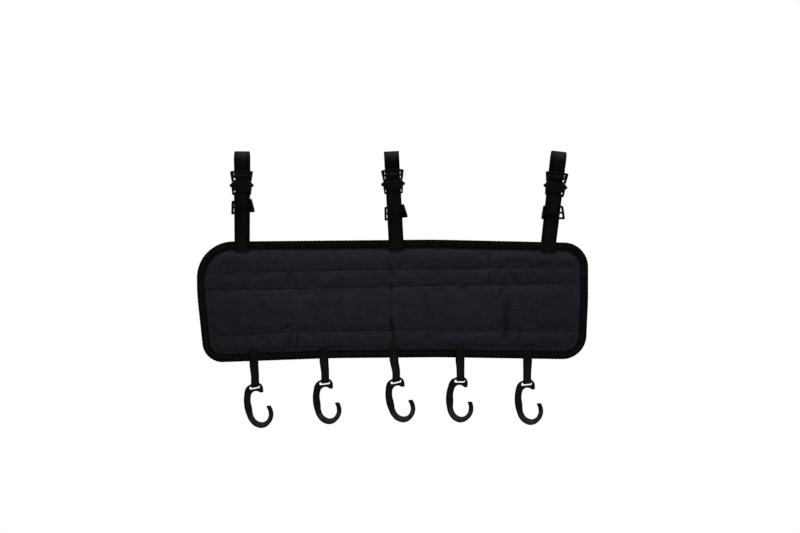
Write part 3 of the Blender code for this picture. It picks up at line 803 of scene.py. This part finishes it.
def make_binding():
    """The folded tape round the panel's edge, puckered by its stitches along its outer fold."""
    count = 1600
    ring = resample(outline, count, True)
    inward = inward_normals(ring)
    length = np.linalg.norm(ring - np.roll(ring, -1, axis=0), axis=1).sum()
    along = np.linspace(0, length, count, endpoint=False)
    turn = along / length * 2 * math.pi
    uneven = 0.65 + 0.35 * np.sin(turn * 37 + 2 * np.sin(turn * 11)) * np.sin(turn * 23)
    phase = turn * round(length / pucker_pitch) + 0.7 * np.sin(turn * 53)
    pucker = (np.sin(phase) + 0.3 * np.sin(2 * phase + 0.6)) * uneven
    middle = tape_line()
    normal = -left_of(unit(np.gradient(middle, axis=0)))
    strip = lengths_along(middle)
    rows = []
    uvs = []
    for side, order in ((1, range(len(middle))), (-1, range(len(middle) - 1, -1, -1))):
        for index in order:
            inset, y = middle[index] + normal[index] * side * tape_half
            free = max(0.0, 1 - middle[index, 0] / seam_inset)
            place = ring + inward * (inset - 0.00020 * free * pucker)[:, None]
            bulge = y + math.copysign(0.00024 * free, middle[index, 1]) * pucker
            rows.append(np.insert(place, 1, bulge, axis=1))
            uvs.append(np.stack([np.full(count, strip[index]), along], axis=1))
    faces = grid_faces(len(rows), count, wrap_rows=True, wrap_columns=True, flip=True)
    binding = mesh_object("binding", np.vstack(rows), faces, tape, np.vstack(uvs))
    fix_normals(binding)
    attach(binding, "panel")
    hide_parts("edge_binding")
    seam = ring + inward * seam_inset
    seam = np.vstack([seam, seam[:1]])
    stitches = []
    for side in (-1.0, 1.0):
        y = side * (binding_half - 0.00005)
        stitches.append((np.insert(seam, 1, y, axis=1), (0.0, side, 0.0)))
    sew("binding_stitches", stitches, pucker_pitch, 0.0010)


# Webbing


def smooth_line(points, spacing):
    """The path with evenly spaced points and its sharp bends softened."""
    line = resample(points, max(8, int(lengths_along(points)[-1] / spacing)), False)
    for _ in range(3):
        line[1:-1] = 0.5 * line[1:-1] + 0.25 * (line[:-2] + line[2:])
    return line


def strip_profile(width, thickness):
    """Cross-section of webbing: flat with round selvedges, as (across, through) points."""
    half = thickness / 2
    edge = width / 2 - half
    points = []
    for turn in (-1, 1):
        points += [(turn * edge * (1 - step / 4), turn * half) for step in range(9)]
        for step in range(1, 4):
            angle = (turn / 2 + step / 4) * math.pi
            points.append((half * math.cos(angle) - turn * edge, half * math.sin(angle)))
    return points


def make_strip(name, line, width, thickness, finish):
    """Webbing of this width along X that follows a line of the YZ plane, a little crowned across."""
    across = left_of(unit(np.gradient(line, axis=0)))
    profile = strip_profile(width, thickness)
    vertices = []
    uvs = []
    for middle, outward, length in zip(line, across, lengths_along(line)):
        for x, through in profile:
            crown = thickness * 0.05 * math.cos(x / width * math.pi) * math.copysign(1, through)
            vertices.append((x, *(middle + outward * (through + crown))))
            uvs.append((x + width / 2, length))
    faces = grid_faces(len(line), len(profile), wrap_columns=True, flip=True)
    count = len(vertices)
    faces += [tuple(range(len(profile))), tuple(range(count - len(profile), count))[::-1]]
    strip = mesh_object(name, vertices, faces, finish, uvs)
    fix_normals(strip)
    return strip


def wrap_radius(height, thickness):
    """Radius of the centreline of webbing that goes round a bar of this section."""
    return math.hypot(height, thickness) / 2 + clearance + webbing_thickness / 2


hardware_offset = wrap_radius(socket_bar, buckle_bar_thickness)


def on_strap(offset, height):
    """A point of the YZ plane: height along the tilted strap, offset to the back of its front layer."""
    tilt = math.radians(strap_tilt)
    y = strap_front + offset * math.cos(tilt) - height * math.sin(tilt)
    return Vector((y, height * math.cos(tilt) + offset * math.sin(tilt)))


def front_strap_line():
    """Sewn foot, straight run up to the socket's bar, round it, and the free tail behind the run."""
    bar = (on_strap(hardware_offset, socket_bar_middle), hardware_offset, -1)
    joined = (on_strap(layer_step, socket_base - 2 * hardware_offset), 0.0, 1)
    tail = (on_strap(layer_step, tail_end), 0.0, 1)
    return belt([stop(strap_front, -strap_foot), stop(strap_front, 0.0), bar, joined, tail])


def loop_strap_line(rise):
    """Sewn foot behind the panel, over the pole rise above it, through the plug's bars, and a free tail."""
    pole = stop(0.0, rise, pole_radius + clearance + webbing_thickness / 2, 1)
    bar_wrap = wrap_radius(plug_bar, buckle_bar_thickness)
    top_centre = on_strap(hardware_offset, top_bar)
    above = (top_centre, bar_wrap, -1)
    below = (on_strap(hardware_offset, middle_bar), bar_wrap, 1)
    behind = (top_centre, bar_wrap + layer_step, 1)
    high, low = tangent(pole, above)
    upward = (high - low).normalized()
    backward = Vector((upward.y, -upward.x))
    tip = (low + backward * layer_step + upward * plug_tail, 0.0, 1)
    return belt([stop(-strap_front, -strap_foot), stop(-strap_front, 0.0), pole, above, below, behind, tip])


def make_strap(side, x, lean):
    """The two webbings of one strap and the box stitch on each sewn foot."""
    edge = edge_height(x, max)
    place = Matrix.Translation((x, 0.0, edge)) @ Matrix.Rotation(math.radians(lean), 4, "Y")
    rise = -edge / math.cos(math.radians(lean))
    strips = []
    for name, line in (("_front", front_strap_line()), ("_loop", loop_strap_line(rise))):
        line = smooth_line(line, 0.0009)
        strips.append(make_strip(side + name + "_webbing", line, webbing_width, webbing_thickness, webbing))
        strips[-1].data.transform(place)
    front, loop = strips
    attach(front, "panel")
    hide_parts(side + "_front_strap")
    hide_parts(side + "_loop_strap")
    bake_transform(loop)
    half = webbing_width / 2 - 0.0022
    low = -strap_foot + 0.0016
    high = -0.0016
    corners = [(-half, low), (half, low), (half, high), (-half, high), (-half, low)]
    legs = [*zip(corners, corners[1:]), ((-half, low), (half, high)), ((half, low), (-half, high))]
    stitches = []
    for normal in (-1.0, 1.0):
        y = normal * (webbing_thickness / 2 - strap_front)
        facing = place.to_3x3() @ Vector((0.0, normal, 0.0))
        stitches += [([place @ Vector((x, y, z)) for x, z in leg], facing) for leg in legs]
    sew(side + "_strap_stitches", stitches, 0.0021, 0.0004)


# Hook tabs


def make_tab(number, x, drop, drift, tilt):
    """One tab of narrow webbing: sewn on the binding, round the hook's bar and back up behind."""
    hinge = Vector((x, tab_front, edge_height(x, min) - tab_hinge_drop))
    layer = (tab_thickness + clearance) / 2
    hole = math.hypot(bar_height, hook_thickness) / 2 + clearance
    fold = stop(0.0, -drop, hole + tab_thickness / 2, 1)
    high = tab_foot + tab_hinge_drop
    apart = -0.004
    stops = [stop(-layer, high), stop(-layer, apart), fold, stop(layer, apart), stop(layer, high - 0.0012)]
    line = smooth_line(belt(stops), 0.0006)
    tab = make_strip(f"hook_tab_webbing_{number}", line, tab_width, tab_thickness, tab_webbing)
    co = vertex_places(tab.data)
    share = smooth(-co[:, 2], 0.0, drop - 2 * hook_thickness)
    co[:, 0] *= 1 + (tab_fold_width / tab_width - 1) * share
    co[:, 2] += co[:, 0] * math.tan(math.radians(tilt)) * share
    co[:, 0] += drift * share
    move_vertices(tab.data, co + np.array(hinge))
    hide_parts(f"hook_tab_{number}", f"hook_tab_foot_{number}")
    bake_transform(tab)
    half = tab_width / 2 - 0.0014
    low, high = 0.0052, 0.0112
    legs = [((-half, z), (half, z)) for z in (low - 0.0012, low, high, high + 0.0012)]
    legs += [((x, low), (x, high)) for x in (-half, half)]
    front = Vector((0.0, -layer - tab_thickness / 2, 0.0)) + hinge
    stitches = [([front + Vector((x, 0.0, z)) for x, z in leg], (0.0, -1.0, 0.0)) for leg in legs]
    sew(f"tab_stitches_{number}", stitches, 0.0017, 0.0003, 0.0002)
    return hinge


# Hooks

# Outline round the bar, counter-clockwise from the head, in x and z, and which of its points are corners
hook_outline = (
    (-0.0060, hook_bar / 2), (-0.0120, -0.0022), (-0.0163, -0.0115), (-0.0186, -0.0240), (-0.0179, -0.0360),
    (-0.0141, -0.0484), (-0.0070, -0.0556), (0.0012, -0.0575), (0.0092, -0.0540), (0.0151, -0.0465),
    (0.0165, -0.0385), (0.0150, -0.0313), (0.0101, -0.0309), (0.0116, -0.0380), (0.0098, -0.0460),
    (0.0040, -0.0508), (-0.0036, -0.0496), (-0.0094, -0.0425), (-0.0101, -0.0290), (-0.0095, -0.0160),
    (-0.0055, -0.0090), (0.0012, -0.0082), (0.0054, -0.0110), (0.0086, -0.0111), (0.0087, -0.0030),
    (0.0058, hook_bar / 2),
)
hook_corners = (0, 11, 12, 22, 23, 25)


def hook_rings():
    """The hook's outer outline and its slot, closed and counter-clockwise, as points in x and z."""
    curve = bpy.data.curves.new("hook_line", "CURVE")
    spline = curve.splines.new("BEZIER")
    spline.bezier_points.add(len(hook_outline) - 1)
    for index, (point, place) in enumerate(zip(spline.bezier_points, hook_outline)):
        point.co = (*place, 0.0)
        point.handle_left_type = point.handle_right_type = "VECTOR" if index in hook_corners else "AUTO"
    spline.use_cyclic_u = True
    drawn = add_object("hook_line", curve)
    bpy.context.view_layer.update()
    points = []
    knots = list(spline.bezier_points)
    for knot, following in zip(knots, knots[1:] + knots[:1]):
        piece = interpolate_bezier(knot.co, knot.handle_right, following.handle_left, following.co, 17)
        points += [tuple(point[:2]) for point in piece[:-1]]
    bpy.data.objects.remove(drawn)
    outer = resample(points, 340, True)
    outer = outer - inward_normals(outer) * hook_grow
    low, high = -hook_bar / 2 - hook_slot + hook_grow, -hook_bar / 2 - hook_grow
    left, right = hook_grow - hook_slot_left, hook_slot_right - hook_grow
    corners = [(left, low), (right, low), (right, high), (left, high)]
    slot = rounded([(x, z, hook_slot_round - hook_grow / 2, 6) for x, z in corners])
    return outer, resample(slot, 48, True)


def inside_rings(points, *rings):
    """Whether each point lies inside the closed rings; a ring in another one is a hole."""
    inside = np.zeros(len(points), bool)
    for ring in rings:
        for (x0, z0), (x1, z1) in zip(ring, np.roll(ring, -1, axis=0)):
            if z0 != z1:
                crosses = (z0 > points[:, 1]) != (z1 > points[:, 1])
                inside ^= crosses & (points[:, 0] < x0 + (points[:, 1] - z0) / (z1 - z0) * (x1 - x0))
    return inside


def hook_half():
    """Points and triangles of one face of the hook, its height above the middle, and each point's reach.

    The reach is the distance to the nearest edge, and the face curves down to it like a rod's.
    """
    outer, slot = rings = hook_rings()
    points = [outer, slot]
    for depth in (0.00015, 0.00050, 0.0011):
        for ring, way in ((outer, 1.0), (slot, -1.0)):
            moved = ring + inward_normals(ring) * depth * way
            points.append(moved[ring_distance(moved, *rings) > depth * 0.93])
    step = 0.0012
    columns, rows = np.meshgrid(np.arange(-0.021, 0.020, step), np.arange(-0.060, 0.004, step * 0.866))
    columns = columns + (np.arange(len(rows)) % 2)[:, None] * step / 2
    field = np.stack([columns.ravel(), rows.ravel()], axis=1)
    points.append(field[inside_rings(field, *rings) & (ring_distance(field, *rings) > 0.0017)])
    edges = []
    for ring in rings:
        first = len(edges)
        edges += [(first + index, first + (index + 1) % len(ring)) for index in range(len(ring))]
    made = delaunay_2d_cdt([Vector(point) for point in np.vstack(points)], edges, [], 0, 1e-7)
    points = np.array(made[0])
    faces = np.array(made[2])
    faces = faces[inside_rings(points[faces].mean(axis=1), *rings)]
    reach = ring_distance(points, *rings)
    share = 1 - np.minimum(reach / hook_edge, 1)
    return points, faces, hook_thickness / 2 * np.sqrt(1 - share * share), reach


def make_hook(number, place, tilt):
    """A moulded hook with fully rounded edges, with painted shade on its rims, paler in the middle of its
    faces, and a painted highlight on its lower bend.
    """
    points, faces, height, reach = hook_shape
    rim = reach < 1e-6
    back_index = np.where(rim, np.arange(len(points)), len(points) + np.cumsum(~rim) - 1)
    co = np.vstack([np.insert(points, 1, -height, axis=1), np.insert(points, 1, height, axis=1)[~rim]])
    faces = np.vstack([faces, back_index[faces][:, ::-1]])
    hook = mesh_object(f"moulded_hook_{number}", co, faces, hook_plastic_painted_paler)
    fix_normals(hook)
    # Painted shade on the rims and painted light on the middles of the faces
    set_attribute(hook.data, "middle", smooth(np.concatenate([reach, reach[~rim]]), 0.0004, 0.0024))
    # Painted highlight on the hook's lower bend
    set_attribute(hook.data, "painted_bend_highlight", smooth(-co[:, 2], 0.034, 0.048))
    hook.data.transform(Matrix.Translation(place) @ Matrix.Rotation(-math.radians(tilt), 4, "Y"))
    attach(hook, f"hook_{number}")
    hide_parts(f"hook_{number}")


hook_shape = hook_half()


# Buckles and sliders


def moulded_copy(node, name, body, radius):
    """A copy of a hard CAD piece with its edges rounded."""
    made = add_object(name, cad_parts[node].data.copy())
    shape = bmesh.new()
    shape.from_mesh(made.data)
    bmesh.ops.remove_doubles(shape, verts=shape.verts, dist=2e-6)
    bmesh.ops.dissolve_limit(shape, angle_limit=math.radians(1), verts=shape.verts, edges=shape.edges)
    bmesh.ops.recalc_face_normals(shape, faces=shape.faces)
    shape.to_mesh(made.data)
    shape.free()
    edges = made.modifiers.new("edges", "BEVEL")
    edges.width = radius
    edges.segments = 3
    edges.limit_method = "ANGLE"
    edges.angle_limit = math.radians(35)
    apply_modifiers(made)
    made.data.materials.clear()
    made.data.materials.append(buckle_plastic)
    made.data.shade_smooth()
    made.data.set_sharp_from_angle(angle=math.radians(42))
    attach(made, body)
    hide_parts(node)


# Assembly

pad = make_pad()
crease_pad(pad)
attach(pad, "panel")
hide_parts("front_cover", "back_cover", "foam_core")

line_stitches = []
for facing in (-1.0, 1.0):
    depth_at = surface_depth(pad, facing)
    for index in range(len(sewn_lines)):
        xs = np.linspace(-half_width, half_width, 700)
        zs = line_height(index, xs)
        keep = ring_distance(np.stack([xs, zs], axis=1), outline) > rim_reach + 0.0005
        keep &= np.abs(xs) < half_width - 0.006
        points = [(x, depth_at(x, z), z) for x, z in zip(xs[keep], zs[keep])]
        line_stitches.append((points, (0.0, facing, 0.0)))
sew("quilting_stitches", line_stitches, 0.0034, 0.0009, 0.00022)

make_binding()

for side, x, lean in zip(sides, strap_places, strap_leans):
    make_strap(side, x, lean)
    moulded_copy(side + "_slider", side + "_slider_moulding", side + "_slider", 0.00045)
    moulded_copy(side + "_buckle_socket", side + "_socket_moulding", "panel", 0.0004)
    for piece, radius in (("_plug", 0.0004), ("_left_arm", 0.00035), ("_right_arm", 0.00035)):
        moulded_copy(side + "_buckle" + piece, side + piece + "_moulding", side + piece, radius)

for number, x, drop, drift, tilt in zip(range(1, 6), tab_places, tab_drops, tab_drifts, hook_tilts):
    hinge = make_tab(number, x, drop, drift, tilt)
    make_hook(number, hinge + Vector((drift, 0.0, -drop)), tilt)


# Light, background and camera

soft_strength = 0.28
floor_height = -0.62
floor_half = 0.8


def area_light(name, place, target, width, height, power):
    """A soft rectangular lamp that points at target."""
    lamp = bpy.data.lights.new(name, "AREA")
    lamp.shape = "RECTANGLE"
    lamp.size = width
    lamp.size_y = height
    lamp.energy = power
    made = add_object(name, lamp)
    made.location = place
    made.rotation_euler = (Vector(target) - Vector(place)).to_track_quat("-Z", "Y").to_euler()


def make_world():
    """Soft light from all round, and white behind the object."""
    world = bpy.data.worlds.new("studio")
    bpy.context.scene.world = world
    world.use_nodes = True
    tree = world.node_tree
    tree.nodes.clear()
    path = make_node(tree, "LightPath").outputs
    seen = math_node(tree, "MAXIMUM", path["Is Camera Ray"], path["Is Glossy Ray"])
    seen = math_node(tree, "MAXIMUM", seen, path["Is Transmission Ray"])
    white = (1.0, 1.0, 1.0, 1.0)
    soft, full = (
        make_node(tree, "Background", {"Color": white, "Strength": strength}).outputs[0]
        for strength in (soft_strength, 1.0)
    )
    mixed = make_node(tree, "MixShader", {0: seen, 1: soft, 2: full}).outputs[0]
    make_node(tree, "OutputWorld", {"Surface": mixed})


def make_floor():
    """A plain pale floor below the panel that fades out at its rim."""
    made, tree = new_material("pale_floor")
    shader = tree.nodes["Principled BSDF"]
    place = make_node(tree, "TexCoord").outputs["Object"]
    speckle = own_noise(tree, 3.0, 6.0)
    colours = [(0.3, (0.86, 0.86, 0.86)), (0.7, (0.90, 0.90, 0.90))]
    set_inputs(shader, {"Base Color": colour_ramp(tree, speckle, colours), "Roughness": 0.9})
    distance = make_node(tree, "VectorMath", {0: place}, operation="LENGTH").outputs["Value"]
    fade = map_range(tree, distance, 0.45, 0.72, 0.0, 1.0)
    clear = make_node(tree, "BsdfTransparent").outputs[0]
    mixed = make_node(tree, "MixShader", {0: fade, 1: shader.outputs[0], 2: clear}).outputs[0]
    output = next(n for n in tree.nodes if n.type == "OUTPUT_MATERIAL")
    tree.links.new(mixed, output.inputs["Surface"])
    corners = [(x * floor_half, y * floor_half, 0.0) for x, y in ((-1, -1), (1, -1), (1, 1), (-1, 1))]
    floor = mesh_object("floor", corners, [(0, 1, 2, 3)], made)
    floor.location = (0.0, 0.0, floor_height)


make_world()
make_floor()
area_light("overhead", (0.1, -0.42, 1.3), (0.0, 0.0, -0.15), 1.0, 0.5, 36.0)
area_light("front_left", (-1.3, -1.7, 0.5), (0.0, 0.0, -0.18), 1.0, 1.0, 4.0)
area_light("front_right", (1.4, -1.6, 0.3), (0.0, 0.0, -0.18), 1.0, 1.0, 7.0)

camera_data = bpy.data.cameras.new("camera")
camera_data.lens = 85.0
camera_data.sensor_width = 36.0
camera = add_object("camera", camera_data)
camera.location = (0.0093, -2.508, -0.1406)
camera.rotation_euler = (math.pi / 2, 0.0, 0.0)
bpy.context.scene.camera = camera
bpy.context.scene.view_settings.view_transform = "Standard"
